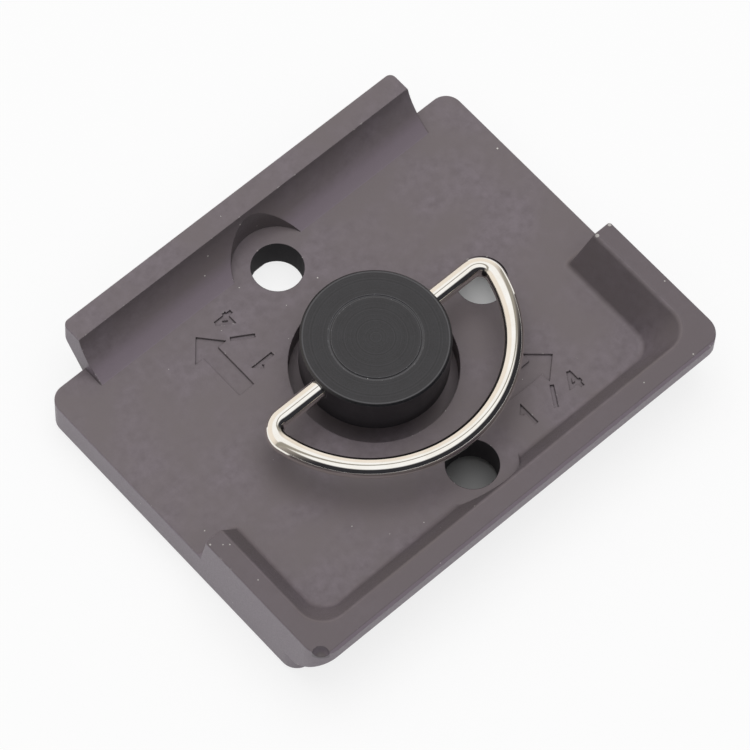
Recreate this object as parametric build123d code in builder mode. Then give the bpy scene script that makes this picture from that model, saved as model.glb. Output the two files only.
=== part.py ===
from build123d import *
from math import asin, cos, degrees, radians, sin, tan
import os

# Quick release plate for a camera, lying on its camera face with its underside up.
# Millimetres and degrees. +X runs along the plate, +Y across it towards the tall back rail, +Z up.

# Plate casting: the platform that the camera stands on
plate_length = 52.5
base_width = 36.4
base_height = 4.3
base_corner = 1.8

# Plate casting: the dovetail lips and the rim that runs round the front
rim_height = 4.6
lip_overhang = 3.3
undercut_drop = 1.4
lip_land = 1.6
lip_chamfer = 0.3
lip_corner = 2.2
rim_top_width = 2.1
rim_slope_run = 2.5
rim_foot_corner = 2.4
rim_top_corner = 2.7
rim_foot_round = 0.8
rim_top_round = 0.7
rim_arm = 16.4
rim_end_draft = 9.0
rim_end_round = 0.3
corner_nick_radius = 0.85
corner_nick_lift = 0.15

# Plate casting: the back rail
rail_length = 42.7
rail_top_width = 2.5
rail_cove_run = 3.35
rail_cove_sag = 0.55
rail_end_draft = 1.0
rail_end_round = 0.7

# Plate casting: softened edges of the outer walls
wall_edge_round = 0.15

# Holes in the plate
pin_hole_radius = 2.65
pin_hole_offset = 14.2
spotface_radius = 4.6
recess_radius = 8.4
recess_depth = 2.7

# Sunk arrows and engraved figures on the plate's floor
mark_line = 0.42
mark_depth = 0.25
arrow_length = 7.55
arrow_head_length = 2.25
arrow_head_width = 4.0
arrow_shaft_width = 1.9
figure_height = 2.1
figure_width = 1.3
figure_pitch = 2.6
figure_drop = 4.5
left_arrow_tail = (-11.1, 6.12)
right_arrow_tail = (6.4, -10.55)

# Rubber grip pad let into the camera face
pad_proud = 0.5
pad_pocket_depth = 0.6
pad_margin = 1.2
pad_side_gap = 0.1
pad_pin_hole_margin = 0.6
pad_grip_gap = 0.1

# Camera screw with a 1/4 inch thread, and the thrust washer under its head
thread_radius = 3.175
thread_protrusion = 3.2
thread_tip_chamfer = 0.6
shank_clearance = 0.4
head_radius = 7.4
head_cover = 0.4
head_chamfer = 0.2
head_groove_radius = 4.5
head_groove_width = 0.25
head_groove_depth = 0.1
washer_radius = 6.0
washer_thickness = 0.4
washer_clearance = 0.1

# Wire ring that folds on the screw head
wire_radius = 1.0
ring_arc_radius = 14.2
ring_arc_offset = 1.2
ring_bend_radius = 1.7
ring_floor_gap = 0.3
leg_depth = 3.0
leg_clearance = 0.05
leg_end_gap = 0.2

# Heights that follow from those sizes
floor_z = pad_proud + base_height
top_z = floor_z + rim_height
root_z = floor_z - undercut_drop
recess_z = floor_z - recess_depth
pad_top_z = pad_proud + pad_pocket_depth

# Edges of the plate in plan
wall_x = plate_length / 2
base_y = base_width / 2
lip_y = base_y + lip_overhang
lip_width = 2 * lip_y
rim_end_y = rim_arm - lip_y
rim_root_y = rim_end_y + (top_z - root_z) * tan(radians(rim_end_draft))
rim_inner_top_y = lip_y - lip_chamfer - rim_top_width
rim_inner_top_x = wall_x - rim_top_width
rim_foot_x = rim_inner_top_x - rim_slope_run
rim_foot_y = rim_inner_top_y - rim_slope_run
lip_land_z = top_z - lip_chamfer - lip_land

# Screw heights: seated in its recess, and raised until its tip is level with the camera face
head_bottom_seated_z = recess_z + washer_thickness
ring_seated_z = floor_z + ring_floor_gap + wire_radius
leg_bore_radius = wire_radius + leg_clearance
head_height = ring_seated_z + leg_bore_radius + head_cover - head_bottom_seated_z
head_bottom_z = head_bottom_seated_z + thread_protrusion
head_top_z = head_bottom_z + head_height
ring_z = ring_seated_z + thread_protrusion

# Front rim: a dovetail lip along the front with arms along both short sides
with BuildPart() as front_rim:
    with BuildSketch(Plane.YZ):
        with BuildLine():
            Polyline(
                (rim_root_y, root_z),
                (-base_y, root_z),
                (-lip_y, lip_land_z),
                (-lip_y, top_z - lip_chamfer),
                (-lip_y + lip_chamfer, top_z),
                (rim_end_y, top_z),
                close=True,
            )
        make_face()
    extrude(amount=wall_x, both=True)
    with BuildSketch(Plane.XY.offset(root_z)):
        RectangleRounded(plate_length, lip_width, lip_corner)
    extrude(amount=top_z - root_z, mode=Mode.INTERSECT)
    with BuildSketch(Plane.XY.offset(floor_z)):
        RectangleRounded(2 * rim_foot_x, 2 * rim_foot_y, rim_foot_corner)
    with BuildSketch(Plane.XY.offset(top_z)):
        RectangleRounded(2 * rim_inner_top_x, 2 * rim_inner_top_y, rim_top_corner)
    loft(ruled=True, mode=Mode.SUBTRACT)
    inner_x = rim_inner_top_x + rim_top_width / 3
    inner_y = rim_inner_top_y + rim_top_width / 3
    inner_edges = front_rim.edges().group_by(Axis.Z)[-1].filter_by_position(Axis.X, -inner_x, inner_x)
    fillet(inner_edges.filter_by_position(Axis.Y, -inner_y, rim_end_y), rim_top_round)
    end_edges = front_rim.faces().group_by(Axis.Y)[-1].edges()
    fillet(end_edges.group_by(Axis.X)[0] + end_edges.group_by(Axis.X)[-1], rim_end_round)
    top_edges = front_rim.edges().group_by(Axis.Z)[-1].filter_by(Axis.Y)
    fillet(top_edges.group_by(Axis.X)[0] + top_edges.group_by(Axis.X)[-1], wall_edge_round)
    nick_reach = lip_corner * sin(radians(45))
    nick_x = -wall_x + lip_corner - nick_reach
    nick_y = -lip_y + lip_corner - nick_reach
    with Locations((nick_x, nick_y, top_z + corner_nick_lift)):
        Sphere(corner_nick_radius, mode=Mode.SUBTRACT)

# Back rail: leans outwards as the other half of the dovetail, with a cove on its inner side
with BuildPart() as back_rail:
    rail_inner_y = lip_y - rail_top_width
    rail_foot_y = rail_inner_y - rail_cove_run
    rail_root_length = rail_length + 2 * (top_z - root_z) * tan(radians(rail_end_draft))
    with BuildSketch(Plane.YZ):
        with BuildLine():
            rail_back = Polyline(
                (rail_foot_y, floor_z),
                (rail_foot_y, root_z),
                (base_y, root_z),
                (lip_y, lip_land_z),
                (lip_y, top_z),
                (rail_inner_y, top_z),
            )
            SagittaArc(rail_back @ 1, rail_back @ 0, rail_cove_sag)
        make_face()
    extrude(amount=rail_root_length / 2, both=True)
    with BuildSketch(Plane.XZ):
        with BuildLine():
            Polyline(
                (-rail_root_length / 2, root_z),
                (rail_root_length / 2, root_z),
                (rail_length / 2, top_z),
                (-rail_length / 2, top_z),
                close=True,
            )
        make_face()
    extrude(amount=lip_y, both=True, mode=Mode.INTERSECT)
    outer_edges = back_rail.faces().sort_by(Axis.Y)[-1].edges()
    fillet(outer_edges.group_by(Axis.X)[0] + outer_edges.group_by(Axis.X)[-1], rail_end_round)
    fillet(back_rail.edges().group_by(Axis.Z)[-1].sort_by(Axis.Y)[-3:], wall_edge_round)

# Plate body: platform, rim and rail cast as one piece, then bored and engraved
with BuildPart() as plate_body:
    with BuildSketch(Plane.XY.offset(pad_proud)):
        RectangleRounded(plate_length, base_width, base_corner)
    extrude(amount=base_height)
    fillet(plate_body.edges().filter_by(Plane.XY), wall_edge_round)
    add(front_rim.part)
    floor_face = plate_body.faces().filter_by(Axis.Z).sort_by(SortBy.AREA)[-2]
    fillet(floor_face.edges().filter_by_position(Axis.Y, -lip_y, rim_root_y), rim_foot_round)
    add(back_rail.part)

    with BuildSketch(Plane.XY.offset(floor_z)):
        with Locations((0, pin_hole_offset), (0, -pin_hole_offset)):
            Circle(spotface_radius)
    extrude(amount=rim_height, mode=Mode.SUBTRACT)
    with BuildSketch(Plane.XY.offset(floor_z)):
        Circle(recess_radius)
    extrude(amount=-recess_depth, mode=Mode.SUBTRACT)
    with BuildSketch(Plane.XY.offset(floor_z)):
        Circle(thread_radius + shank_clearance)
        with Locations((0, pin_hole_offset), (0, -pin_hole_offset), (pin_hole_offset, 0)):
            Circle(pin_hole_radius)
    extrude(amount=-base_height, mode=Mode.SUBTRACT)
    with BuildSketch(Plane.XY.offset(pad_proud)):
        RectangleRounded(plate_length - 2 * pad_margin, base_width - 2 * pad_margin, base_corner)
    extrude(amount=pad_pocket_depth, mode=Mode.SUBTRACT)

    shaft_length = arrow_length - arrow_head_length
    arrow_outline = (
        (0, -arrow_shaft_width / 2),
        (shaft_length, -arrow_shaft_width / 2),
        (shaft_length, -arrow_head_width / 2),
        (arrow_length, 0),
        (shaft_length, arrow_head_width / 2),
        (shaft_length, arrow_shaft_width / 2),
        (0, arrow_shaft_width / 2),
    )
    flag = figure_height / 4
    stem_x = 0.7 * figure_width
    bar_y = figure_height / 3
    figure_one = ((-flag, figure_height - flag), (0, figure_height), (0, 0))
    figure_slash = ((0, 0), (figure_width, figure_height))
    four_stem = ((stem_x, 0), (stem_x, figure_height))
    four_arm = ((stem_x, figure_height), (0, bar_y), (figure_width, bar_y))
    figure_strokes = ((0, figure_one), (1, figure_slash), (2, four_stem), (2, four_arm))
    arrow_tails = (left_arrow_tail, right_arrow_tail)
    arrow_directions = ((0, 1, 0), (1, 0, 0))
    for tail, direction in zip(arrow_tails, arrow_directions):
        mark_plane = Plane((*tail, floor_z), x_dir=direction, z_dir=(0, 0, 1))
        with BuildSketch(mark_plane):
            with BuildLine():
                Polyline(*arrow_outline, close=True)
            make_face()
        extrude(amount=-mark_depth, mode=Mode.SUBTRACT)
        for place, stroke in figure_strokes:
            figure_x = figure_width + place * figure_pitch
            with BuildSketch(mark_plane):
                with BuildLine():
                    Polyline(*((figure_x + x, y - figure_drop) for x, y in stroke))
                trace(line_width=mark_line)
            extrude(amount=-mark_depth, mode=Mode.SUBTRACT)

# Grip pad: fills the pocket in the camera face and stands a little proud of it
with BuildPart() as grip_pad:
    pad_inset = pad_margin + pad_side_gap
    with BuildSketch():
        RectangleRounded(plate_length - 2 * pad_inset, base_width - 2 * pad_inset, base_corner - pad_side_gap)
        with Locations((0, pin_hole_offset), (0, -pin_hole_offset), (pin_hole_offset, 0)):
            Circle(pin_hole_radius + pad_pin_hole_margin, mode=Mode.SUBTRACT)
        Circle(thread_radius + pad_grip_gap, mode=Mode.SUBTRACT)
    extrude(amount=pad_top_z)

# Thrust washer: slides with the screw under its head, and doesn't turn with it
with BuildPart() as thrust_washer:
    with BuildSketch(Plane.XY.offset(head_bottom_z - washer_thickness)):
        Circle(washer_radius)
        Circle(thread_radius + washer_clearance, mode=Mode.SUBTRACT)
    extrude(amount=washer_thickness)

# Camera screw: turned in one piece, drawn raised with its tip level with the camera face
with BuildPart() as camera_screw:
    with BuildSketch(Plane.XZ):
        with BuildLine():
            Polyline(
                (0, 0),
                (thread_radius - thread_tip_chamfer, 0),
                (thread_radius, thread_tip_chamfer),
                (thread_radius, head_bottom_z),
                (head_radius - head_chamfer, head_bottom_z),
                (head_radius, head_bottom_z + head_chamfer),
                (head_radius, head_top_z - head_chamfer),
                (head_radius - head_chamfer, head_top_z),
                (0, head_top_z),
                close=True,
            )
        make_face()
        with Locations((head_groove_radius, head_top_z)):
            Rectangle(head_groove_width, 2 * head_groove_depth, mode=Mode.SUBTRACT)
    revolve(axis=Axis.Z)
    for side in (-1, 1):
        bore_plane = Plane((side * head_radius, 0, ring_z), x_dir=(0, 1, 0), z_dir=(-side, 0, 0))
        with BuildSketch(bore_plane):
            Circle(leg_bore_radius)
        extrude(amount=leg_depth + leg_end_gap, mode=Mode.SUBTRACT)

# Wire ring: two legs in the head, tight bends and one wide arc, folded flat towards the front rim
with BuildPart() as d_ring:
    bend_reach = ring_arc_radius - ring_bend_radius
    lean = degrees(asin((ring_arc_offset + ring_bend_radius) / bend_reach))
    bend_x = bend_reach * cos(radians(lean))
    leg_end_x = head_radius - leg_depth
    with BuildLine(Plane.XY.offset(ring_z)) as ring_path:
        left_leg = Line((-leg_end_x, 0), (-bend_x, 0))
        left_bend = JernArc(left_leg @ 1, left_leg % 1, ring_bend_radius, 90 + lean)
        wide_arc = JernArc(left_bend @ 1, left_bend % 1, ring_arc_radius, 180 - 2 * lean)
        right_bend = JernArc(wide_arc @ 1, wide_arc % 1, ring_bend_radius, 90 + lean)
        right_leg = Line(right_bend @ 1, (leg_end_x, 0))
    with BuildSketch(Plane(left_leg @ 0, z_dir=left_leg % 0)):
        Circle(wire_radius)
    sweep(path=ring_path.wires()[0])

# Labels and files
os.makedirs("parts", exist_ok=True)
plate_body.part.label = "plate_body"
export_step(plate_body.part, "parts/plate_body.step")
grip_pad.part.label = "grip_pad"
export_step(grip_pad.part, "parts/grip_pad.step")
thrust_washer.part.label = "thrust_washer"
export_step(thrust_washer.part, "parts/thrust_washer.step")
camera_screw.part.label = "camera_screw"
export_step(camera_screw.part, "parts/camera_screw.step")
d_ring.part.label = "d_ring"
export_step(d_ring.part, "parts/d_ring.step")
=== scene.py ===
"""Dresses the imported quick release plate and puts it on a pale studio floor.

Metres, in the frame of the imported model: +X along the plate, +Y towards the back rail, +Z up.
"""

import logging
import math
from dataclasses import asdict, dataclass, field
from enum import Enum
from typing import Any, Optional, Union

import bmesh
import bpy
from bpy.types import Curve, Material, Mesh, Node, NodeSocket, NodeTree, Object
from mathutils import Matrix, Vector


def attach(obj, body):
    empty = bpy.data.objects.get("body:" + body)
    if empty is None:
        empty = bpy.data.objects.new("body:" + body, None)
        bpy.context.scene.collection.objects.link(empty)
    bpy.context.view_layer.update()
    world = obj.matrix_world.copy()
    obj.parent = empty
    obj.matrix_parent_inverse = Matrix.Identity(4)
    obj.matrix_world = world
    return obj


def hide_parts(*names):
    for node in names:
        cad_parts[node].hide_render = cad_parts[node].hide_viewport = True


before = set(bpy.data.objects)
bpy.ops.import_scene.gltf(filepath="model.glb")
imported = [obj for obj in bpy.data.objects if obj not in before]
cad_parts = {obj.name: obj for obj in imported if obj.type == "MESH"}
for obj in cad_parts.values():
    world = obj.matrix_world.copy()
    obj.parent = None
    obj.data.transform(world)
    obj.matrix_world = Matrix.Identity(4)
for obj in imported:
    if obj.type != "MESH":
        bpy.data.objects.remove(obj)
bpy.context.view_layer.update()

LOG = logging.getLogger("quick_release_plate")
MM = 0.001

Colour = tuple[float, float, float, float]
Span = tuple[float, float]
Spot = tuple[float, float]
Plug = Union[NodeSocket, Material, float, int, bool, tuple, str]

FALLING: Span = (1.0, 0.0)


class Body(Enum):
    """The bodies that the modelled pieces ride on."""

    SCREW = "screw"
    RING = "ring"


class Slot(Enum):
    """The record's material slots of the modelled pieces."""

    SCREW = "screw"
    RING = "ring"


class MixSocket(Enum):
    """Places of the colour sockets on a Mix node."""

    FACTOR = 0
    FIRST = 6
    SECOND = 7
    RESULT = 2


class SocketKind(Enum):
    """The kinds of sockets that the trees have."""

    VALUE = "NodeSocketFloat"
    COUNT = "NodeSocketInt"
    VECTOR = "NodeSocketVector"
    MATERIAL = "NodeSocketMaterial"
    GEOMETRY = "NodeSocketGeometry"


class GrainLayer(Enum):
    """The layers of the shared grain that a finish can follow."""

    FINE = "Height"
    BROAD = "Mottle"


class NodeSheet:
    """A node tree with short calls for adding and joining its nodes."""

    def __init__(self, tree: NodeTree) -> None:
        """Keeps the shader or geometry tree to write on."""
        self.tree = tree

    def join(self, node: Node, plugs: dict[Any, Plug]) -> None:
        """Sets or links a node's inputs.

        Args:
            node: The node.
            plugs: Values or sockets for its inputs, by name or place.
        """
        for key, value in plugs.items():
            if isinstance(value, NodeSocket):
                self.tree.links.new(value, node.inputs[key])
            else:
                node.inputs[key].default_value = value

    def add(self, kind: str, plugs: Optional[dict[Any, Plug]] = None, **settings: Any) -> Node:
        """Adds a node.

        Args:
            kind: The node's type name.
            plugs: Values or sockets for its inputs, by name or place.
            **settings: Properties of the node itself.

        Returns:
            The new node.
        """
        made = self.tree.nodes.new(kind)
        for name, value in settings.items():
            setattr(made, name, value)
        self.join(made, plugs or {})
        return made

    def math(self, operation: str, *values: Plug, clamp: bool = False) -> NodeSocket:
        """Adds a Math node.

        Args:
            operation: The node's operation.
            *values: Its inputs in order.
            clamp: Whether the result is held between 0 and 1.

        Returns:
            The result's socket.
        """
        node = self.add("ShaderNodeMath", dict(enumerate(values)), operation=operation, use_clamp=clamp)
        return node.outputs["Value"]

    def product(self, first: Plug, *others: Plug) -> NodeSocket:
        """Multiplies values.

        Args:
            first: The first value.
            *others: The values it is multiplied by.

        Returns:
            The result's socket.
        """
        total = first
        for other in others:
            total = self.math("MULTIPLY", total, other)
        return total

    def spread(self, value: Plug, low: Plug, high: Plug, to_low: Plug = 0.0, to_high: Plug = 1.0,
               smooth: bool = False) -> NodeSocket:
        """Maps a range of values to another, held at its ends.

        Args:
            value: The value to map.
            low: Where the range begins.
            high: Where the range ends.
            to_low: The result at low.
            to_high: The result at high.
            smooth: Whether the way between is eased.

        Returns:
            The result's socket.
        """
        plugs = {"Value": value, "From Min": low, "From Max": high, "To Min": to_low, "To Max": to_high}
        way = "SMOOTHSTEP" if smooth else "LINEAR"
        return self.add("ShaderNodeMapRange", plugs, interpolation_type=way).outputs["Result"]

    def mix(self, factor: Plug, first: Plug, second: Plug) -> NodeSocket:
        """Mixes two colours.

        Args:
            factor: The second colour's share.
            first: The first colour.
            second: The second colour.

        Returns:
            The mixed colour's socket.
        """
        plugs = {MixSocket.FACTOR.value: factor, MixSocket.FIRST.value: first, MixSocket.SECOND.value: second}
        node = self.add("ShaderNodeMix", plugs, data_type="RGBA")
        return node.outputs[MixSocket.RESULT.value]

    def noise(self, place: Plug, scale: Plug, detail: float, roughness: float) -> NodeSocket:
        """Adds a noise texture.

        Args:
            place: The coordinates.
            scale: Its scale, per metre.
            detail: How many finer layers it has.
            roughness: How strong the finer layers are.

        Returns:
            The noise's socket.
        """
        plugs = {"Vector": place, "Scale": scale, "Detail": detail, "Roughness": roughness}
        return self.add("ShaderNodeTexNoise", plugs).outputs["Fac"]

    def parts(self, vector: Plug) -> Any:
        """Returns the X, Y and Z sockets of a vector."""
        return self.add("ShaderNodeSeparateXYZ", {"Vector": vector}).outputs

    def distance(self, place: Plug, spot: Plug) -> NodeSocket:
        """Returns the socket of the distance between two places."""
        return self.add("ShaderNodeVectorMath", {0: place, 1: spot}, operation="DISTANCE").outputs["Value"]

    def below(self, value: Plug, limit: Plug) -> NodeSocket:
        """Returns a socket that is 1 where a value is below a limit and else 0."""
        return self.math("LESS_THAN", value, limit)

    def above(self, value: Plug, limit: Plug) -> NodeSocket:
        """Returns a socket that is 1 where a value is above a limit and else 0."""
        return self.math("GREATER_THAN", value, limit)

    def inverse(self, length: Plug) -> NodeSocket:
        """Returns the socket of 1 over a length, the scale of a texture with features of that length."""
        return self.math("DIVIDE", 1.0, length)


@dataclass(frozen=True)
class GroupSpec:
    """Names and kinds of a tree's own sockets."""

    name: str
    inputs: dict[str, SocketKind]
    outputs: dict[str, SocketKind]
    tree_kind: str = "ShaderNodeTree"

    def start(self) -> tuple[NodeSheet, Node, Node]:
        """Makes the empty tree.

        Returns:
            Its sheet, its input node and its output node.
        """
        tree = bpy.data.node_groups.new(self.name, self.tree_kind)
        for way, sockets in (("INPUT", self.inputs), ("OUTPUT", self.outputs)):
            for label, kind in sockets.items():
                tree.interface.new_socket(label, in_out=way, socket_type=kind.value)
        sheet = NodeSheet(tree)
        return sheet, sheet.add("NodeGroupInput"), sheet.add("NodeGroupOutput")


class Effects:
    """Surface effects that several finishes share, each built once as a shader group."""

    VALUE = SocketKind.VALUE
    VECTOR = SocketKind.VECTOR
    FINE_LAYERS = (3.0, 0.6)
    BROAD_LAYERS = (5.0, 0.62)
    DRIFT_LAYERS = (2.0, 0.5)
    CHIP_LAYERS = (2.0, 0.7)
    DRIFT_SIZE = 7.0
    DRIFT_SHIFT = (0.31, 0.17, 0.23)
    EDGE_SPAN = (0.9, 0.5)
    HOLLOW_SPAN = (0.75, 0.35)
    RAYS = 6

    def __init__(self) -> None:
        """Builds the groups."""
        self.grain = self._surface_grain()
        self.dust = self._dust_specks()
        self.edges = self._worn_edges()

    def _surface_grain(self) -> NodeTree:
        """Fine grain and broad mottling.

        Returns:
            The group: Place, Grain and Mottle sizes in; Height, Mottle and Drift out.
        """
        spec = GroupSpec(
            "surface_grain",
            {"Place": self.VECTOR, "Grain": self.VALUE, "Mottle": self.VALUE},
            {"Height": self.VALUE, "Mottle": self.VALUE, "Drift": self.VALUE},
        )
        sheet, entry, result = spec.start()
        place = entry.outputs["Place"]
        fine = sheet.noise(place, sheet.inverse(entry.outputs["Grain"]), *self.FINE_LAYERS)
        broad = sheet.noise(place, sheet.inverse(entry.outputs["Mottle"]), *self.BROAD_LAYERS)
        moved = sheet.add("ShaderNodeVectorMath", {0: place, 1: self.DRIFT_SHIFT}, operation="ADD")
        wide = sheet.product(entry.outputs["Mottle"], self.DRIFT_SIZE)
        drift = sheet.noise(moved.outputs["Vector"], sheet.inverse(wide), *self.DRIFT_LAYERS)
        sheet.join(result, {"Height": fine, "Mottle": broad, "Drift": drift})
        return sheet.tree

    def _dust_specks(self) -> NodeTree:
        """Sparse tiny specks of dust.

        Returns:
            The group: Place, Spacing, Size and Share in; Mask out.
        """
        spec = GroupSpec(
            "dust_specks",
            {"Place": self.VECTOR, "Spacing": self.VALUE, "Size": self.VALUE, "Share": self.VALUE},
            {"Mask": self.VALUE},
        )
        sheet, entry, result = spec.start()
        scale = sheet.inverse(entry.outputs["Spacing"])
        cells = sheet.add("ShaderNodeTexVoronoi", {"Vector": entry.outputs["Place"], "Scale": scale}).outputs
        chance = sheet.add("ShaderNodeSeparateColor", {"Color": cells["Color"]}).outputs
        reach = sheet.product(entry.outputs["Size"], scale, chance["Green"])
        near = sheet.below(cells["Distance"], reach)
        chosen = sheet.below(chance["Red"], entry.outputs["Share"])
        sheet.join(result, {"Mask": sheet.product(near, chosen)})
        return sheet.tree

    def _worn_edges(self) -> NodeTree:
        """Softened edges that are chipped here and there, with an edge mask for painted highlights and an
        occlusion mask for painted shade in hollows.

        Returns:
            The group: Place, Reach, Chip, Share and Round in; Hollow, Edge, Chips and Normal out.
        """
        sizes = ("Reach", "Chip", "Share", "Round")
        spec = GroupSpec(
            "edge_wear_and_shade",
            {"Place": self.VECTOR, **{label: self.VALUE for label in sizes}},
            {"Hollow": self.VALUE, "Edge": self.VALUE, "Chips": self.VALUE, "Normal": self.VECTOR},
        )
        sheet, entry, result = spec.start()
        reach = {"Distance": entry.outputs["Reach"]}
        rays = {"samples": self.RAYS, "only_local": True}
        # Occlusion seen from inside: the Edge mask, which drives painted highlights.
        within = sheet.add("ShaderNodeAmbientOcclusion", reach, inside=True, **rays)
        edge = sheet.spread(within.outputs["AO"], *self.EDGE_SPAN, smooth=True)
        patches = sheet.noise(entry.outputs["Place"], sheet.inverse(entry.outputs["Chip"]), *self.CHIP_LAYERS)
        limit = sheet.math("SUBTRACT", 1.0, entry.outputs["Share"])
        chips = sheet.product(sheet.above(patches, limit), edge)
        rounded = sheet.add("ShaderNodeBevel", {"Radius": entry.outputs["Round"]}, samples=self.RAYS)
        # Occlusion within the reach: the Hollow mask, which drives painted shade.
        around = sheet.add("ShaderNodeAmbientOcclusion", reach, **rays)
        hollow = sheet.spread(around.outputs["AO"], *self.HOLLOW_SPAN, smooth=True)
        sheet.join(result, {"Hollow": hollow, "Edge": edge, "Chips": chips,
                            "Normal": rounded.outputs["Normal"]})
        return sheet.tree


@dataclass(frozen=True)
class Grain:
    """Sizes of a finish's fine grain and broad mottling."""

    grain: float
    mottle: float


@dataclass(frozen=True)
class Dust:
    """How far apart a finish's dust specks lie, how large they are and which share of them shows."""

    spacing: float
    size: float
    share: float


@dataclass(frozen=True)
class WearAndShade:
    """How far a finish's edge and hollow masks reach, the size and share of the edges' chips, and how round
    the edges look.
    """

    reach: float
    chip: float
    share: float
    round: float


class Surface(NodeSheet):
    """A material's sheet, with the piece's own coordinates at hand."""

    def __init__(self, material: Material) -> None:
        """Starts an empty sheet.

        Args:
            material: The material to write on.
        """
        material.use_nodes = True
        material.node_tree.nodes.clear()
        super().__init__(material.node_tree)
        self.place = self.add("ShaderNodeTexCoord").outputs["Object"]

    def effect(self, group: NodeTree, sizes: Union[Grain, Dust, WearAndShade]) -> Any:
        """Places a shared effect.

        Args:
            group: The effect's group.
            sizes: Values for the group's inputs, which have the fields' names.

        Returns:
            The effect's outputs, by name.
        """
        plugs = {label.capitalize(): value for label, value in asdict(sizes).items()}
        return self.add("ShaderNodeGroup", {"Place": self.place, **plugs}, node_tree=group).outputs

    def nearest(self, spots: tuple[Spot, ...]) -> NodeSocket:
        """Measures, seen from above, how far the nearest of some spots is.

        Args:
            spots: The spots' x and y.

        Returns:
            The distance's socket.
        """
        flat = self.add("ShaderNodeVectorMath", {0: self.place, 1: (1.0, 1.0, 0.0)}, operation="MULTIPLY")
        least: Plug = 1.0
        for x, y in spots:
            least = self.math("MINIMUM", least, self.distance(flat.outputs["Vector"], (x, y, 0.0)))
        return least


@dataclass(frozen=True)
class Paint:
    """What a finish puts on its shader, as sockets."""

    colour: NodeSocket
    roughness: NodeSocket
    height: NodeSocket
    normal: Optional[NodeSocket] = None


class Finish:
    """What every finish does: joins its paint to one Principled shader."""

    name: str = "finish"
    relief: float = 0.5
    relief_depth: float = 0.02 * MM
    shine: float = 0.5
    metal: float = 0.0
    noise_span: Span = (0.3, 0.7)

    def paint(self, surface: Surface, effects: Effects) -> Paint:
        """Lays the colours, the roughness and the relief; each finish has its own way."""
        raise NotImplementedError

    def material(self, effects: Effects) -> Material:
        """Makes the material.

        Args:
            effects: The shared effects.

        Returns:
            The material.
        """
        made = bpy.data.materials.new(self.name)
        surface = Surface(made)
        paint = self.paint(surface, effects)
        bump = surface.add("ShaderNodeBump", {"Strength": self.relief, "Distance": self.relief_depth,
                                              "Height": paint.height})
        if paint.normal is not None:
            surface.join(bump, {"Normal": paint.normal})
        shader = surface.add("ShaderNodeBsdfPrincipled", {
            "Base Color": paint.colour, "Roughness": paint.roughness, "Normal": bump.outputs["Normal"],
            "Metallic": self.metal, "Specular IOR Level": self.shine})
        surface.add("ShaderNodeOutputMaterial", {"Surface": shader.outputs["BSDF"]})
        return made


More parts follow.
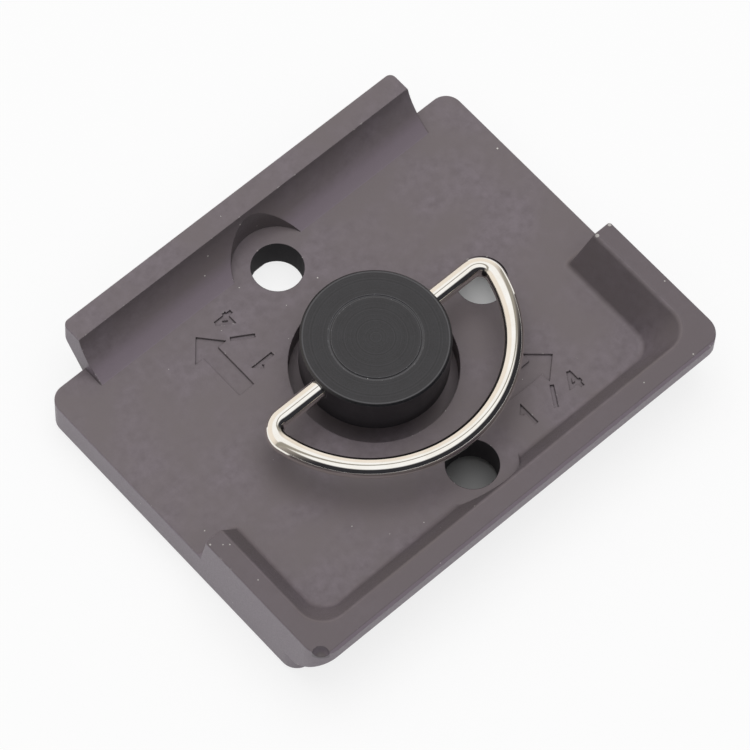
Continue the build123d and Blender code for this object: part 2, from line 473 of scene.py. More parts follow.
@dataclass(frozen=True)
class CastGrey(Finish):
    """Warm dark grey casting: satin grain, painted light on the walls, and painted shade on the slopes and
    the hole walls.
    """

    name: str = "cast_grey"
    grain: Grain = Grain(grain=0.2 * MM, mottle=1.0 * MM)
    wear: WearAndShade = WearAndShade(reach=0.22 * MM, chip=0.6 * MM, share=0.34, round=0.14 * MM)
    dust: Dust = Dust(spacing=1.1 * MM, size=0.09 * MM, share=0.14)
    relief_depth: float = 0.03 * MM
    roughness: Span = (0.38, 0.52)
    deep: Colour = (0.140, 0.117, 0.128, 1.0)
    pale: Colour = (0.185, 0.156, 0.174, 1.0)
    tone_span: Span = (0.32, 0.68)
    drifted: Colour = (0.155, 0.131, 0.137, 1.0)
    drift_span: Span = (0.38, 0.62)
    # Painted shade: a dark tone laid on the walls of the holes.
    bored: Colour = (0.036, 0.033, 0.037, 1.0)
    bored_roughness: float = 0.9
    bore_places: tuple[Spot, ...] = ((0.0, 14.2 * MM), (0.0, -14.2 * MM), (14.2 * MM, 0.0))
    bore_radius: float = 2.65 * MM
    bore_margin: float = 0.03 * MM
    # Painted light: a lighter tone laid on the outer walls, the steep inner walls and the cove's foot.
    sanded: Colour = (0.210, 0.173, 0.204, 1.0)
    sanded_share: float = 0.85
    wall_span: Span = (0.75, 0.9)
    steep_span: Span = (0.2, 0.26)
    foot_start: Span = (0.6, 0.74)
    foot_end: Span = (0.9, 0.97)
    # Painted shade: a darker tone laid on the rim's inner slopes and the cove's top.
    shaded: Colour = (0.070, 0.060, 0.062, 1.0)
    shaded_share: float = 0.36
    slope_start: Span = (0.26, 0.4)
    slope_end: Span = (0.6, 0.95)
    cove_span: Span = (0.25, 0.6)
    inner_half: float = 25.0 * MM
    inner_front: float = -20.0 * MM
    step_level: float = 5.0 * MM
    cove_front: float = 10.0 * MM
    cove_back: float = 21.0 * MM
    cove_half: float = 21.33 * MM
    rim_corners: tuple[Spot, ...] = ((22.3 * MM, -17.2 * MM), (-22.3 * MM, -17.2 * MM))
    corner_span: Span = (1.2 * MM, 5.0 * MM)
    corner_share: float = 0.25
    # Painted shade: a darker tone laid on the rim's flat top.
    handled: Colour = (0.120, 0.099, 0.108, 1.0)
    handled_share: float = 0.75
    rim_back: float = -5.0 * MM
    rim_top: float = 9.36 * MM
    nick_places: tuple[tuple[float, float, float], ...] = (
        (26.0 * MM, -5.35 * MM, 0.50 * MM),
        (24.3 * MM, -5.4 * MM, 0.42 * MM),
        (25.8 * MM, -13.4 * MM, 0.20 * MM),
        (22.4 * MM, -21.0 * MM, 0.15 * MM),
        (16.7 * MM, -20.1 * MM, 0.15 * MM),
        (-26.0 * MM, -5.6 * MM, 0.18 * MM),
        (-25.1 * MM, -6.4 * MM, 0.14 * MM),
        (-24.6 * MM, -6.8 * MM, 0.14 * MM),
        (-25.0 * MM, -11.3 * MM, 0.15 * MM),
    )
    nick_floor: float = 9.0 * MM
    dent_place: Spot = (-25.6 * MM, -20.85 * MM)
    dent_reach: float = 0.84 * MM
    dent_floor: float = 8.4 * MM
    dent_share: float = 0.42
    # Painted shade: the dark tone laid in hollows, found by occlusion, and inside the dent.
    grime: Colour = (0.022, 0.020, 0.020, 1.0)
    grime_share: float = 0.85
    chipped: Colour = (0.46, 0.44, 0.42, 1.0)
    dusty: Colour = (0.62, 0.60, 0.57, 1.0)

    def paint(self, surface: Surface, effects: Effects) -> Paint:
        """Lays mottled grey, painted light and shade on the casting's faces, painted shade in the holes, the
        hollows and the dent, then chips, nicks and dust.

        Args:
            surface: The material's sheet.
            effects: The shared effects.

        Returns:
            The paint.
        """
        grain = surface.effect(effects.grain, self.grain)
        edges = surface.effect(effects.edges, self.wear)
        dust = surface.effect(effects.dust, self.dust)
        walls, slopes = self.faces(surface)
        bores = self.bores(surface)
        colour = surface.mix(surface.spread(grain["Mottle"], *self.tone_span), self.deep, self.pale)
        layers = (
            (surface.spread(grain["Drift"], *self.drift_span), self.drifted),
            # painted light on the walls and the cove's foot
            (walls, self.sanded),
            # painted shade on the slopes and the cove's top
            (slopes, self.shaded),
            # painted shade on the rim's flat top
            (self.rim_tops(surface), self.handled),
            # painted shade inside the dent
            (self.dent(surface), self.grime),
            # painted shade on the hole walls
            (bores, self.bored),
            # painted shade where occlusion finds a hollow
            (surface.product(edges["Hollow"], self.grime_share), self.grime),
            (edges["Chips"], self.chipped),
            (self.nicks(surface, grain["Mottle"]), self.chipped),
            (dust["Mask"], self.dusty),
        )
        for share, tone in layers:
            colour = surface.mix(share, colour, tone)
        gloss = surface.spread(grain["Height"], *self.noise_span, *self.roughness)
        gloss = surface.math("MAXIMUM", gloss, surface.product(bores, self.bored_roughness))
        return Paint(colour, gloss, grain["Height"], edges["Normal"])

    def bores(self, surface: Surface) -> NodeSocket:
        """Returns a socket that is 1 on the walls of the three round holes and else 0."""
        return surface.below(surface.nearest(self.bore_places), self.bore_radius + self.bore_margin)

    def faces(self, surface: Surface) -> tuple[NodeSocket, NodeSocket]:
        """Tells the walls and the cove's foot, which get painted light, from the slopes and the cove's top,
        which get painted shade.

        Args:
            surface: The material's sheet.

        Returns:
            The shares of the painted light on the walls and of the painted shade on the slopes.
        """
        at = surface.parts(surface.place)
        up = surface.parts(surface.add("ShaderNodeNewGeometry").outputs["Normal"])["Z"]
        from_middle = surface.math("ABSOLUTE", at["X"])
        inside = surface.product(surface.below(from_middle, self.inner_half),
                                 surface.above(at["Y"], self.inner_front))
        cove = surface.product(surface.above(at["Y"], self.cove_front),
                               surface.below(at["Y"], self.cove_back),
                               surface.below(from_middle, self.cove_half))
        high = surface.above(at["Z"], self.step_level)
        steep = surface.product(surface.math("SUBTRACT", high, cove, clamp=True),
                                surface.spread(up, *self.steep_span, *FALLING))
        outer = surface.product(surface.math("SUBTRACT", 1.0, inside),
                                surface.spread(up, *self.wall_span, *FALLING))
        foot = surface.product(cove, surface.spread(up, *self.foot_start),
                               surface.spread(up, *self.foot_end, *FALLING))
        walls = surface.math("MAXIMUM", surface.math("MAXIMUM", outer, steep), foot)
        rim = surface.product(inside, surface.below(at["Y"], self.cove_front),
                              surface.spread(surface.nearest(self.rim_corners), *self.corner_span,
                                             self.corner_share, 1.0))
        slopes = surface.product(rim, surface.spread(up, *self.slope_start),
                                 surface.spread(up, *self.slope_end, *FALLING))
        cove_top = surface.product(cove, surface.spread(up, *self.cove_span, *FALLING))
        slopes = surface.math("MAXIMUM", slopes, cove_top)
        return surface.product(walls, self.sanded_share), surface.product(slopes, self.shaded_share)

    def rim_tops(self, surface: Surface) -> NodeSocket:
        """Returns the share of painted shade on the rim's flat top."""
        at = surface.parts(surface.place)
        return surface.product(surface.above(at["Z"], self.rim_top),
                               surface.below(at["Y"], self.rim_back), self.handled_share)

    def dent(self, surface: Surface) -> NodeSocket:
        """Marks the inside of the dent in the rim's corner, which gets painted shade.

        Args:
            surface: The material's sheet.

        Returns:
            The painted shade's share.
        """
        level = surface.parts(surface.place)["Z"]
        near = surface.below(surface.nearest((self.dent_place,)), self.dent_reach)
        return surface.product(near, surface.below(level, self.rim_top),
                               surface.above(level, self.dent_floor), self.dent_share)

    def nicks(self, surface: Surface, ragged: NodeSocket) -> NodeSocket:
        """Marks the few bright nicks in the rim's top.

        Args:
            surface: The material's sheet.
            ragged: Noise that makes their outlines uneven.

        Returns:
            A socket that is 1 in a nick and else 0.
        """
        marked: Plug = 0.0
        for x, y, reach in self.nick_places:
            near = surface.below(surface.nearest(((x, y),)), surface.product(ragged, reach))
            marked = surface.math("MAXIMUM", marked, near)
        level = surface.parts(surface.place)["Z"]
        return surface.product(marked, surface.above(level, self.nick_floor))


@dataclass(frozen=True)
class BlackTurned(Finish):
    """Black satin coat over a turned face, with fine concentric lines."""

    name: str = "black_turned"
    grain: Grain = Grain(grain=0.1 * MM, mottle=1.6 * MM)
    wear: WearAndShade = WearAndShade(reach=0.16 * MM, chip=0.35 * MM, share=0.36, round=0.08 * MM)
    dust: Dust = Dust(spacing=1.2 * MM, size=0.06 * MM, share=0.12)
    relief: float = 0.25
    shine: float = 0.72
    roughness: Span = (0.34, 0.44)
    coat: Colour = (0.0030, 0.0030, 0.0045, 1.0)
    rubbed: Colour = (0.022, 0.021, 0.026, 1.0)
    tone_span: Span = (0.35, 0.68)
    # Painted highlight: the light tone of the convex edges and of the round lines below.
    edge: Colour = (0.110, 0.108, 0.116, 1.0)
    edge_share: float = 0.8
    chipped: Colour = (0.20, 0.20, 0.21, 1.0)
    dusty: Colour = (0.40, 0.39, 0.38, 1.0)
    # Radii of the painted highlight lines at the groove and near the rim.
    light_lines: tuple[float, ...] = (4.55 * MM, 7.1 * MM)
    light_line_half: float = 0.1 * MM
    light_line_share: float = 0.5
    line_pitch: float = 0.14 * MM
    line_layers: float = 2.0
    speckle_share: float = 0.5
    grain_height: float = 0.45
    centre_mark: float = 1.2 * MM
    centre_mark_half: float = 0.1 * MM
    centre_mark_depth: float = 0.6

    def paint(self, surface: Surface, effects: Effects) -> Paint:
        """Lays the coat with its turned lines, then painted highlight lines, painted edge highlights, chips
        and dust.

        Args:
            surface: The material's sheet.
            effects: The shared effects.

        Returns:
            The paint.
        """
        at = surface.parts(surface.place)
        squares = [surface.math("POWER", at[axis], 2.0) for axis in ("X", "Y")]
        radius = surface.math("SQRT", surface.math("ADD", *squares))
        way = surface.math("DIVIDE", surface.math("ADD", radius, at["Z"]), self.line_pitch)
        lines = surface.add("ShaderNodeTexNoise", {"W": way, "Scale": 1.0, "Detail": self.line_layers},
                            noise_dimensions="1D").outputs["Fac"]
        grain = surface.effect(effects.grain, self.grain)
        edges = surface.effect(effects.edges, self.wear)
        dust = surface.effect(effects.dust, self.dust)
        height = surface.math("ADD", surface.product(grain["Height"], self.grain_height), lines)
        mark = self.line(surface, radius, self.centre_mark, self.centre_mark_half, self.centre_mark_depth)
        tone = surface.math("ADD", surface.product(grain["Height"], self.speckle_share),
                            surface.product(lines, 1.0 - self.speckle_share))
        colour = surface.mix(surface.spread(tone, *self.tone_span), self.coat, self.rubbed)
        for middle in self.light_lines:
            share = self.line(surface, radius, middle, self.light_line_half, self.light_line_share)
            colour = surface.mix(share, colour, self.edge)
        # painted highlight along the convex edges
        colour = surface.mix(surface.product(edges["Edge"], self.edge_share), colour, self.edge)
        colour = surface.mix(edges["Chips"], colour, self.chipped)
        colour = surface.mix(dust["Mask"], colour, self.dusty)
        gloss = surface.spread(grain["Mottle"], *self.noise_span, *self.roughness)
        return Paint(colour, gloss, surface.math("SUBTRACT", height, mark), edges["Normal"])

    @staticmethod
    def line(surface: Surface, radius: NodeSocket, middle: float, half: float, share: float) -> NodeSocket:
        """Draws a soft round line about the screw's axis.

        Args:
            surface: The material's sheet.
            radius: The distance from the axis.
            middle: The line's radius.
            half: Half its width.
            share: Its value in its middle.

        Returns:
            The socket of its value, 0 beside the line.
        """
        off = surface.math("ABSOLUTE", surface.math("SUBTRACT", radius, middle))
        return surface.spread(off, 0.0, half, share, 0.0, smooth=True)


@dataclass(frozen=True)
class TwoTone(Finish):
    """A plain finish: one tone with broad patches of a second, and a fine grain."""

    grain: Grain
    first: Colour
    second: Colour
    roughness: Span
    gloss_layer: GrainLayer = GrainLayer.BROAD
    tone_span: Span = (0.35, 0.7)

    def paint(self, surface: Surface, effects: Effects) -> Paint:
        """Lays the two tones.

        Args:
            surface: The material's sheet.
            effects: The shared effects.

        Returns:
            The paint.
        """
        grain = surface.effect(effects.grain, self.grain)
        colour = surface.mix(surface.spread(grain["Mottle"], *self.tone_span), self.first, self.second)
        gloss = surface.spread(grain[self.gloss_layer.value], *self.noise_span, *self.roughness)
        return Paint(colour, gloss, grain["Height"])


@dataclass(frozen=True)
class PolishedWire(TwoTone):
    """Bright polished wire with a faint grain."""

    name: str = "polished_wire"
    grain: Grain = Grain(grain=0.25 * MM, mottle=3.0 * MM)
    first: Colour = (0.94, 0.92, 0.88, 1.0)
    second: Colour = (0.88, 0.84, 0.77, 1.0)
    roughness: Span = (0.03, 0.07)
    relief: float = 0.06
    metal: float = 1.0


@dataclass(frozen=True)
class BlackNylon(TwoTone):
    """Black plastic of the thrust washer, slightly frosted."""

    name: str = "black_nylon"
    grain: Grain = Grain(grain=0.14 * MM, mottle=1.2 * MM)
    first: Colour = (0.022, 0.022, 0.023, 1.0)
    second: Colour = (0.052, 0.051, 0.050, 1.0)
    roughness: Span = (0.42, 0.56)
    gloss_layer: GrainLayer = GrainLayer.FINE
    relief: float = 0.2


@dataclass(frozen=True)
class PebbledRubber(Finish):
    """Matte black rubber with a pebbled skin."""

    name: str = "pebbled_rubber"
    grain: Grain = Grain(grain=0.2 * MM, mottle=4.0 * MM)
    dust: Dust = Dust(spacing=1.4 * MM, size=0.1 * MM, share=0.2)
    relief_depth: float = 0.06 * MM
    roughness: Span = (0.72, 0.88)
    deep: Colour = (0.016, 0.016, 0.016, 1.0)
    worn: Colour = (0.042, 0.041, 0.040, 1.0)
    dusty: Colour = (0.30, 0.29, 0.28, 1.0)
    pebble: float = 0.55 * MM
    pebble_span: Span = (0.4, 0.9)

    def paint(self, surface: Surface, effects: Effects) -> Paint:
        """Lays black rubber with worn pebble tops and dust.

        Args:
            surface: The material's sheet.
            effects: The shared effects.

        Returns:
            The paint.
        """
        cells = surface.add("ShaderNodeTexVoronoi", {"Vector": surface.place, "Scale": 1.0 / self.pebble},
                            feature="SMOOTH_F1")
        grain = surface.effect(effects.grain, self.grain)
        dust = surface.effect(effects.dust, self.dust)
        top = surface.math("SUBTRACT", 1.0, cells.outputs["Distance"])
        tone = surface.product(surface.spread(top, *self.pebble_span), grain["Mottle"])
        colour = surface.mix(dust["Mask"], surface.mix(tone, self.deep, self.worn), self.dusty)
        gloss = surface.spread(grain["Mottle"], *self.noise_span, *self.roughness)
        return Paint(colour, gloss, top)


class Shaper:
    """Steps that the pieces share."""

    @staticmethod
    def dress(node: str, finish: Finish, effects: Effects) -> Object:
        """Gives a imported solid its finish.

        Args:
            node: The solid's name.
            finish: Its finish.
            effects: The shared effects.

        Returns:
            The dressed piece.
        """
        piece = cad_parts[node]
        piece.data.materials.clear()
        piece.data.materials.append(finish.material(effects))
        return piece

    @staticmethod
    def show(name: str, mesh: Mesh, material: Material) -> Object:
        """Puts a mesh in the scene as a piece.

        Args:
            name: The piece's name.
            mesh: Its mesh, in place.
            material: Its finish.

        Returns:
            The piece.
        """
        mesh.name = name
        mesh.materials.clear()
        mesh.materials.append(material)
        piece = bpy.data.objects.new(name, mesh)
        bpy.context.scene.collection.objects.link(piece)
        return piece

    @staticmethod
    def grow(carrier: Object, tree: NodeTree, sizes: dict[str, Plug]) -> Mesh:
        """Runs a geometry tree and takes its result as a plain mesh.

        Args:
            carrier: The object that carries the tree, not yet in the scene.
            tree: The geometry tree.
            sizes: Values for its named inputs.

        Returns:
            The mesh.
        """
        modifier = carrier.modifiers.new(tree.name, "NODES")
        modifier.node_group = tree
        for item in tree.interface.items_tree:
            if item.item_type == "SOCKET" and item.in_out == "INPUT" and item.name in sizes:
                modifier[item.identifier] = sizes[item.name]
        bpy.context.scene.collection.objects.link(carrier)
        seen = carrier.evaluated_get(bpy.context.evaluated_depsgraph_get())
        mesh = bpy.data.meshes.new_from_object(seen)
        data = carrier.data
        carrier.modifiers.remove(modifier)
        bpy.data.objects.remove(carrier)
        if isinstance(data, Curve):
            bpy.data.curves.remove(data)
        else:
            bpy.data.meshes.remove(data)
        return mesh

    @staticmethod
    def open_tree(name: str, inputs: dict[str, SocketKind]) -> tuple[NodeSheet, Node, Node]:
        """Starts a geometry tree.

        Args:
            name: The tree's name.
            inputs: Its named inputs and their kinds, besides geometry and material.

        Returns:
            Its sheet, its input node and its output node.
        """
        shape = {"Geometry": SocketKind.GEOMETRY}
        sockets = {**shape, **inputs, "Material": SocketKind.MATERIAL}
        return GroupSpec(name, sockets, shape, "GeometryNodeTree").start()

    @staticmethod
    def close_tree(sheet: NodeSheet, entry: Node, result: Node,
                   shape: NodeSocket) -> None:
        """Ends a geometry tree with real geometry and its material.

        Args:
            sheet: The tree's sheet.
            entry: Its input node.
            result: Its output node.
            shape: The finished geometry.
        """
        real = sheet.add("GeometryNodeRealizeInstances", {"Geometry": shape})
        painted = sheet.add("GeometryNodeSetMaterial", {"Geometry": real.outputs["Geometry"],
                                                        "Material": entry.outputs["Material"]})
        sheet.join(result, {"Geometry": painted.outputs["Geometry"]})


@dataclass
class PlateBody:
    """The casting and the rubber pad let into its camera face."""

    casting: str = "plate_body"
    pad: str = "grip_pad"
    cast_finish: CastGrey = field(default_factory=CastGrey)
    pad_finish: PebbledRubber = field(default_factory=PebbledRubber)

    def dress(self, effects: Effects) -> list[Object]:
        """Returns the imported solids, dressed in their finishes."""
        return [Shaper.dress(self.casting, self.cast_finish, effects),
                Shaper.dress(self.pad, self.pad_finish, effects)]


@dataclass
class ThrustWasher:
    """The thin plastic washer under the screw head."""

    node: str = "thrust_washer"
    finish: BlackNylon = field(default_factory=BlackNylon)

    def dress(self, effects: Effects) -> list[Object]:
        """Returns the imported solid, dressed in its finish, in a list."""
        return [Shaper.dress(self.node, self.finish, effects)]


@dataclass
class CameraScrew:
    """The captive screw: its imported head with a cut 1/4 inch thread below it."""

    node: str = "camera_screw"
    major_radius: float = 3.175 * MM
    minor_radius: float = 2.39 * MM
    pitch: float = 1.27 * MM
    flank_span: Span = (0.25, 0.875)
    tip_chamfer: float = 0.6 * MM
    runout: float = 0.9 * MM
    head_bottom: float = 5.7 * MM
    around: int = 72
    steps_per_turn: int = 24
    merge_gap: float = 0.002 * MM
    sharp_angle: float = math.radians(28.0)
    finish: BlackTurned = field(default_factory=BlackTurned)

    def thread_tree(self) -> NodeTree:
        """Builds the geometry tree that wraps a grid into a threaded shank.

        Returns:
            The tree.
        """
        lengths = ("Length", "Major", "Minor", "Pitch", "Tip", "Runout")
        sheet, entry, result = Shaper.open_tree("screw_thread", {
            **{label: SocketKind.VALUE for label in lengths},
            **{label: SocketKind.COUNT for label in ("Around", "Along")}})
        size = entry.outputs
        grid = sheet.add("GeometryNodeMeshGrid", {"Size X": 1.0, "Size Y": 1.0, "Vertices X": size["Around"],
                                                  "Vertices Y": size["Along"]})
        at = sheet.parts(sheet.add("GeometryNodeInputPosition").outputs[0])
        turn = sheet.math("ADD", at["X"], 0.5)
        angle = sheet.product(turn, math.tau)
        height = sheet.product(sheet.math("ADD", at["Y"], 0.5), size["Length"])
        phase = sheet.math("FRACT", sheet.math("SUBTRACT", sheet.math("DIVIDE", height, size["Pitch"]), turn))
        flank = sheet.math("ABSOLUTE", sheet.math("SUBTRACT", sheet.product(phase, 2.0), 1.0))
        flank = sheet.spread(flank, *self.flank_span)
        fade = sheet.math("SUBTRACT", size["Length"], size["Runout"])
        flank = sheet.math("MAXIMUM", flank, sheet.spread(height, fade, size["Length"], smooth=True))
        depth = sheet.math("SUBTRACT", size["Major"], size["Minor"])
        radius = sheet.math("ADD", size["Minor"], sheet.product(flank, depth))
        tip = sheet.math("ADD", sheet.math("SUBTRACT", size["Major"], size["Tip"]), height)
        radius = sheet.math("MINIMUM", radius, tip)
        place = sheet.add("ShaderNodeCombineXYZ", {
            "X": sheet.product(radius, sheet.math("COSINE", angle)),
            "Y": sheet.product(radius, sheet.math("SINE", angle)),
            "Z": height})
        wrapped = sheet.add("GeometryNodeSetPosition", {"Geometry": grid.outputs["Mesh"],
                                                        "Position": place.outputs["Vector"]})
        closed = sheet.add("GeometryNodeMergeByDistance", {"Geometry": wrapped.outputs["Geometry"],
                                                           "Distance": self.merge_gap})
        Shaper.close_tree(sheet, entry, result, closed.outputs["Geometry"])
        return sheet.tree

    def thread_mesh(self, material: Material) -> Mesh:
        """Grows the threaded shank, open at both ends.

        Args:
            material: The screw's finish.

        Returns:
            The mesh.
        """
        turns = self.head_bottom / self.pitch
        carrier = bpy.data.objects.new("thread_carrier", bpy.data.meshes.new("thread_carrier"))
        return Shaper.grow(carrier, self.thread_tree(), {
            "Length": self.head_bottom, "Major": self.major_radius, "Minor": self.minor_radius,
            "Pitch": self.pitch, "Tip": self.tip_chamfer, "Runout": self.runout, "Around": self.around + 1,
            "Along": round(turns * self.steps_per_turn) + 1, "Material": material})

    def head_shell(self) -> bmesh.types.BMesh:
        """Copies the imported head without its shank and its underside.

        Returns:
            The open shell.
        """
        shell = bmesh.new()
        shell.from_mesh(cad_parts[self.node].data)
        bmesh.ops.remove_doubles(shell, verts=shell.verts, dist=self.merge_gap)
        level = self.head_bottom + self.merge_gap
        below = [face for face in shell.faces if all(vert.co.z < level for vert in face.verts)]
        bmesh.ops.delete(shell, geom=below, context="FACES")
        return shell

    def build(self, effects: Effects) -> Object:
        """Joins head and thread into one closed piece.

        Args:
            effects: The shared effects.

        Returns:
            The screw.
        """
        material = self.finish.material(effects)
        shell = self.head_shell()
        thread = self.thread_mesh(material)
        shell.from_mesh(thread)
        bpy.data.meshes.remove(thread)
        rim = [edge for edge in shell.edges if edge.is_boundary]
        tip = [edge for edge in rim if all(vert.co.z < self.pitch for vert in edge.verts)]
        seat = [edge for edge in rim if edge not in tip]
        bmesh.ops.bridge_loops(shell, edges=seat)
        bmesh.ops.holes_fill(shell, edges=tip, sides=0)
        bmesh.ops.recalc_face_normals(shell, faces=shell.faces)
        mesh = bpy.data.meshes.new("threaded_screw")
        shell.to_mesh(mesh)
        shell.free()
        carried = mesh.attributes.get("custom_normal")
        if carried is not None:
            mesh.attributes.remove(carried)
        mesh.shade_smooth()
        mesh.set_sharp_from_angle(angle=self.sharp_angle)
        piece = Shaper.show("threaded_screw", mesh, material)
        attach(piece, Body.SCREW.value)
        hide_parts(self.node)
        return piece


@dataclass
class WireRing:
    """The polished wire ring that folds on the screw head."""

    node: str = "d_ring"
    wire_radius: float = 1.0 * MM
    arc_radius: float = 14.2 * MM
    arc_offset: float = 1.2 * MM
    bend_radius: float = 1.7 * MM
    leg_end: float = 4.4 * MM
    level: float = 9.3 * MM
    sides: int = 40
    spacing: float = 0.22 * MM
    arc_step: float = math.radians(1.5)
    mark_depth: float = 0.14 * MM
    mark_reach: float = 0.55 * MM
    mark_tilt: float = 0.6
    mark_lift: float = 0.35
    finish: PolishedWire = field(default_factory=PolishedWire)

    @property
    def lean(self) -> float:
        """Returns the angle by which each end of the wide arc falls short of a half turn."""
        return math.asin((self.arc_offset + self.bend_radius) / (self.arc_radius - self.bend_radius))

    def bend_centre(self, side: int) -> Vector:
        """Returns the centre of the tight bend on the left, -1, or on the right, 1."""
        reach = self.arc_radius - self.bend_radius
        return Vector((side * reach * math.cos(self.lean), -self.bend_radius, self.level))

    def arc(self, centre: Vector, radius: float, start: float, sweep: float) -> list[Vector]:
        """Points on an arc of the wire's middle line.

        Args:
            centre: The arc's centre.
            radius: Its radius.
            start: The angle of its first point.
            sweep: How far it turns, anticlockwise.

        Returns:
            The points, both ends included.
        """
        count = max(2, round(sweep / self.arc_step))
        angles = [start + sweep * step / count for step in range(count + 1)]
        return [centre + Vector((math.cos(angle), math.sin(angle), 0.0)) * radius for angle in angles]

    def middle_line(self) -> list[Vector]:
        """The wire's middle line from leg to leg: a tight bend, the wide arc and a tight bend.

        Returns:
            The points in order.
        """
        lean = self.lean
        quarter = math.pi / 2
        middle = Vector((0.0, self.arc_offset, self.level))
        line = [Vector((-self.leg_end, 0.0, self.level))]
        line += self.arc(self.bend_centre(-1), self.bend_radius, quarter, quarter + lean)
        line += self.arc(middle, self.arc_radius, math.pi + lean, math.pi - 2 * lean)[1:]
        line += self.arc(self.bend_centre(1), self.bend_radius, -lean, quarter + lean)[1:]
        line.append(Vector((self.leg_end, 0.0, self.level)))
        return line

    def wire_tree(self) -> NodeTree:
        """Builds the geometry tree that draws a round wire along a path.

        Returns:
            The tree.
        """
        sheet, entry, result = Shaper.open_tree("wire_on_path", {
            "Wire Radius": SocketKind.VALUE, "Spacing": SocketKind.VALUE, "Sides": SocketKind.COUNT})
        even = sheet.add("GeometryNodeResampleCurve", {"Curve": entry.outputs["Geometry"],
                                                       "Length": entry.outputs["Spacing"]}, mode="LENGTH")
        round_bar = sheet.add("GeometryNodeCurvePrimitiveCircle", {"Resolution": entry.outputs["Sides"],
                                                                   "Radius": entry.outputs["Wire Radius"]})
        wire = sheet.add("GeometryNodeCurveToMesh", {"Curve": even.outputs["Curve"],
                                                     "Profile Curve": round_bar.outputs["Curve"],
                                                     "Fill Caps": True})
        smooth = sheet.add("GeometryNodeSetShadeSmooth", {"Geometry": wire.outputs["Mesh"]})
        Shaper.close_tree(sheet, entry, result, smooth.outputs["Geometry"])
        return sheet.tree

    def path(self) -> Object:
        """Makes the middle line a curve object.

        Returns:
            The object, not yet in the scene.
        """
        points = self.middle_line()
        curve = bpy.data.curves.new("wire_path", "CURVE")
        curve.dimensions = "3D"
        spline = curve.splines.new("POLY")
        spline.points.add(len(points) - 1)
        for place, point in zip(spline.points, points):
            place.co = (*point, 1.0)
        return bpy.data.objects.new("wire_path", curve)

    def press_marks(self, mesh: Mesh) -> None:
        """Presses the small dents that the bending tool leaves inside the two tight bends.

        Args:
            mesh: The wire's mesh.
        """
        inner = self.bend_radius - self.wire_radius
        for side in (-1, 1):
            inwards = Vector((-side, -1.0, self.mark_tilt)).normalized()
            centre = self.bend_centre(side) + Vector((side, 1.0, 0.0)).normalized() * inner
            centre.z += self.mark_lift * self.wire_radius
            for vert in mesh.vertices:
                near = (vert.co - centre).length / self.mark_reach
                vert.co -= inwards * self.mark_depth * math.exp(-near * near)

    def build(self, effects: Effects) -> Object:
        """Draws the wire along its path.

        Args:
            effects: The shared effects.

        Returns:
            The ring.
        """
        material = self.finish.material(effects)
        mesh = Shaper.grow(self.path(), self.wire_tree(), {
            "Wire Radius": self.wire_radius, "Spacing": self.spacing, "Sides": self.sides,
            "Material": material})
        self.press_marks(mesh)
        piece = Shaper.show("wire_ring", mesh, material)
        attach(piece, Body.RING.value)
        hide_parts(self.node)
        return piece


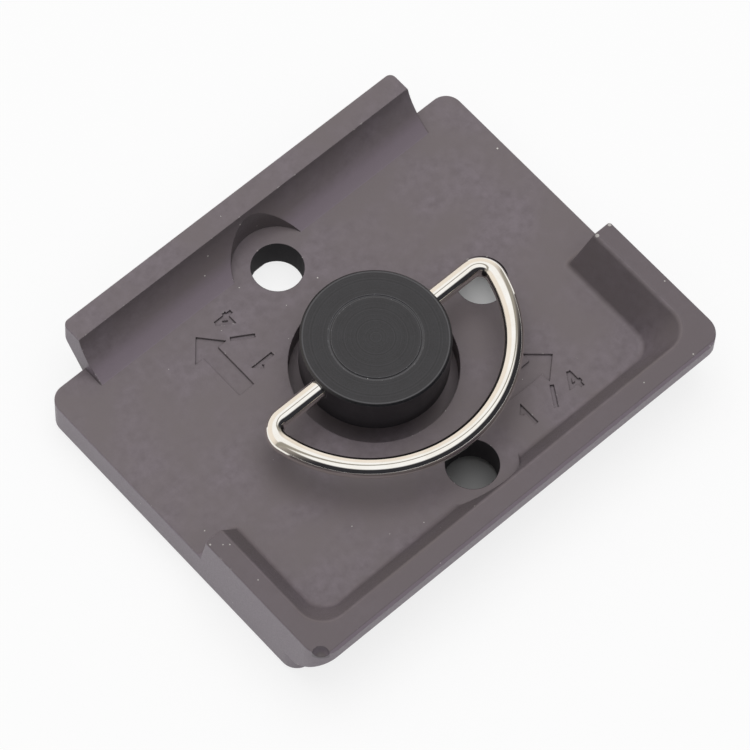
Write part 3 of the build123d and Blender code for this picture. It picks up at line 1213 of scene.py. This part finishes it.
@dataclass
class Studio:
    """The pale floor, soft light from all round and the camera."""

    floor_half: float = 1.5
    floor_drop: float = 0.05 * MM
    floor_colour: Colour = (0.93, 0.93, 0.93, 1.0)
    floor_lift: float = 0.80
    # Painted shadow on the floor under two holes: centre and paper tone of each.
    shaded_holes: tuple[tuple[float, float, float], ...] = ((14.2 * MM, 0.0, 0.8), (0.0, -14.2 * MM, 0.3))
    shade_span: Span = (3.4 * MM, 4.4 * MM)
    white: Colour = (1.0, 1.0, 1.0, 1.0)
    wall_colour: Colour = (0.90, 0.83, 0.75, 1.0)
    room_colour: Colour = (0.03, 0.03, 0.035, 1.0)
    room_way: tuple[float, float, float] = (0.05, -1.0, 0.0)
    room_span: Span = (-0.5, 0.3)
    ceiling_span: Span = (math.sin(math.radians(44.0)), math.sin(math.radians(57.0)))
    seam_place: float = 0.105
    seam_span: Span = (0.05, 0.10)
    seam_colour: Colour = (0.34, 0.32, 0.28, 1.0)
    sky: float = 0.77
    low_sky: Colour = (0.05, 0.05, 0.055, 1.0)
    low_sky_top: float = math.sin(math.radians(75.0))
    lamp_power: float = 1.18
    lamp_size: float = 0.42
    lamp_place: tuple[float, float, float] = (0.03, 0.05, 0.50)
    azimuth: float = math.radians(-45.5)
    elevation: float = math.radians(63.4)
    roll: float = math.radians(4.0)
    distance: float = 470.4 * MM
    focal_pixels: float = 4794.7
    picture_pixels: float = 750.0
    sensor: float = 36.0
    near_end: float = 10.0 * MM
    slide_right: float = 0.225 * MM
    slide_up: float = 0.935 * MM
    lift: float = 0.5 * MM

    @staticmethod
    def seen(sheet: NodeSheet) -> NodeSocket:
        """Adds the test for rays that look at a surface and don't light it.

        Args:
            sheet: The material's or the world's sheet.

        Returns:
            A socket that is 1 for such rays and else 0.
        """
        path = sheet.add("ShaderNodeLightPath").outputs
        looks = sheet.math("ADD", path["Is Camera Ray"], path["Is Glossy Ray"], clamp=True)
        return sheet.math("ADD", looks, path["Is Transmission Ray"], clamp=True)

    def floor_paper(self) -> Material:
        """Makes the floor's white paper, which keeps the shadows and has painted shadow under two of the
        holes.

        Returns:
            The material.
        """
        made = bpy.data.materials.new("floor_paper")
        sheet = Surface(made)
        share = sheet.product(self.seen(sheet), self.floor_lift)
        colour: Plug = self.floor_colour
        # painted shadow: darker paper and no glow under these holes
        for x, y, tone in self.shaded_holes:
            lit = sheet.spread(sheet.distance(sheet.place, (x, y, 0.0)), *self.shade_span, smooth=True)
            share = sheet.product(share, lit)
            colour = sheet.mix(lit, (tone, tone, tone, 1.0), colour)
        paper = sheet.add("ShaderNodeBsdfDiffuse", {"Color": colour}).outputs["BSDF"]
        glow = sheet.add("ShaderNodeEmission", {"Strength": 1.0}).outputs["Emission"]
        both = sheet.add("ShaderNodeMixShader", {0: share, 1: paper, 2: glow})
        sheet.add("ShaderNodeOutputMaterial", {"Surface": both.outputs["Shader"]})
        return made

    def lay_floor(self) -> Object:
        """Lays the floor just under the plate.

        Returns:
            The floor.
        """
        reach = self.floor_half
        corners = [(-reach, -reach), (reach, -reach), (reach, reach), (-reach, reach)]
        mesh = bpy.data.meshes.new("studio_floor")
        mesh.from_pydata([(x, y, -self.floor_drop) for x, y in corners], [], [(0, 1, 2, 3)])
        floor = Shaper.show("studio_floor", mesh, self.floor_paper())
        return floor

    def light(self) -> None:
        """Sets the light of the surroundings: a dome that is dim low down, and a room for reflections."""
        world = bpy.data.worlds.new("studio")
        world.use_nodes = True
        world.node_tree.nodes.clear()
        sheet = NodeSheet(world.node_tree)
        way = sheet.add("ShaderNodeTexCoord").outputs["Generated"]
        at = sheet.parts(way)
        side = sheet.add("ShaderNodeVectorMath", {0: way, 1: self.room_way}, operation="DOT_PRODUCT")
        dim = sheet.spread(side.outputs["Value"], *self.room_span, smooth=True)
        wall = sheet.mix(dim, self.wall_colour, self.room_colour)
        room = sheet.mix(sheet.spread(at["Z"], *self.ceiling_span, smooth=True), wall, self.white)
        off_seam = sheet.math("ABSOLUTE", sheet.math("SUBTRACT", at["Y"], self.seam_place))
        seam = sheet.spread(off_seam, *self.seam_span, *FALLING, smooth=True)
        room = sheet.mix(seam, room, self.seam_colour)
        dome = sheet.mix(sheet.spread(at["Z"], 0.0, self.low_sky_top, smooth=True), self.low_sky, self.white)
        path = sheet.add("ShaderNodeLightPath").outputs
        tone = sheet.mix(path["Is Camera Ray"], sheet.mix(path["Is Glossy Ray"], dome, room), self.white)
        strength = sheet.spread(self.seen(sheet), 0.0, 1.0, self.sky, 1.0)
        sky = sheet.add("ShaderNodeBackground", {"Color": tone, "Strength": strength})
        sheet.add("ShaderNodeOutputWorld", {"Surface": sky.outputs["Background"]})
        bpy.context.scene.world = world

    def hang_lamp(self) -> None:
        """Hangs one soft lamp overhead, which shows in no reflection."""
        lamp = bpy.data.lights.new("soft_box", "AREA")
        lamp.energy = self.lamp_power
        lamp.size = self.lamp_size
        holder = bpy.data.objects.new("soft_box", lamp)
        holder.location = self.lamp_place
        holder.rotation_euler = Vector(self.lamp_place).to_track_quat("Z", "Y").to_euler()
        holder.visible_glossy = False
        bpy.context.scene.collection.objects.link(holder)

    def view_back(self) -> Vector:
        """Returns the direction from the plate to the camera."""
        flat = Vector((math.sin(self.azimuth), -math.cos(self.azimuth), 0.0)) * math.cos(self.elevation)
        return flat + Vector((0.0, 0.0, math.sin(self.elevation)))

    def place_camera(self) -> None:
        """Sets the camera where the photograph was taken from."""
        back = self.view_back()
        level = (-back).cross(Vector((0.0, 0.0, 1.0))).normalized()
        upright = back.cross(level)
        right = level * math.cos(self.roll) + upright * math.sin(self.roll)
        up = upright * math.cos(self.roll) - level * math.sin(self.roll)
        eye = back * self.distance + right * self.slide_right + up * self.slide_up
        eye.z += self.lift
        lens = bpy.data.cameras.new("photo_camera")
        lens.sensor_width = self.sensor
        lens.lens = self.focal_pixels * self.sensor / self.picture_pixels
        lens.clip_start = self.near_end
        holder = bpy.data.objects.new("photo_camera", lens)
        holder.matrix_world = Matrix.Translation(eye) @ Matrix((right, up, back)).transposed().to_4x4()
        bpy.context.scene.collection.objects.link(holder)
        bpy.context.scene.camera = holder

    def build(self) -> None:
        """Sets up floor, light, camera and plain colours."""
        self.lay_floor()
        self.light()
        self.hang_lamp()
        self.place_camera()
        bpy.context.scene.view_settings.view_transform = "Standard"


def main() -> None:
    """Dresses the plate piece by piece and sets up the studio."""
    logging.basicConfig(level=logging.INFO, format="%(name)s: %(message)s")
    effects = Effects()
    pieces = PlateBody().dress(effects) + ThrustWasher().dress(effects)
    pieces.append(CameraScrew().build(effects))
    pieces.append(WireRing().build(effects))
    for piece in pieces:
        LOG.info("%s: %d faces", piece.name, len(piece.data.polygons))
    Studio().build()


if __name__ == "__main__":
    main()
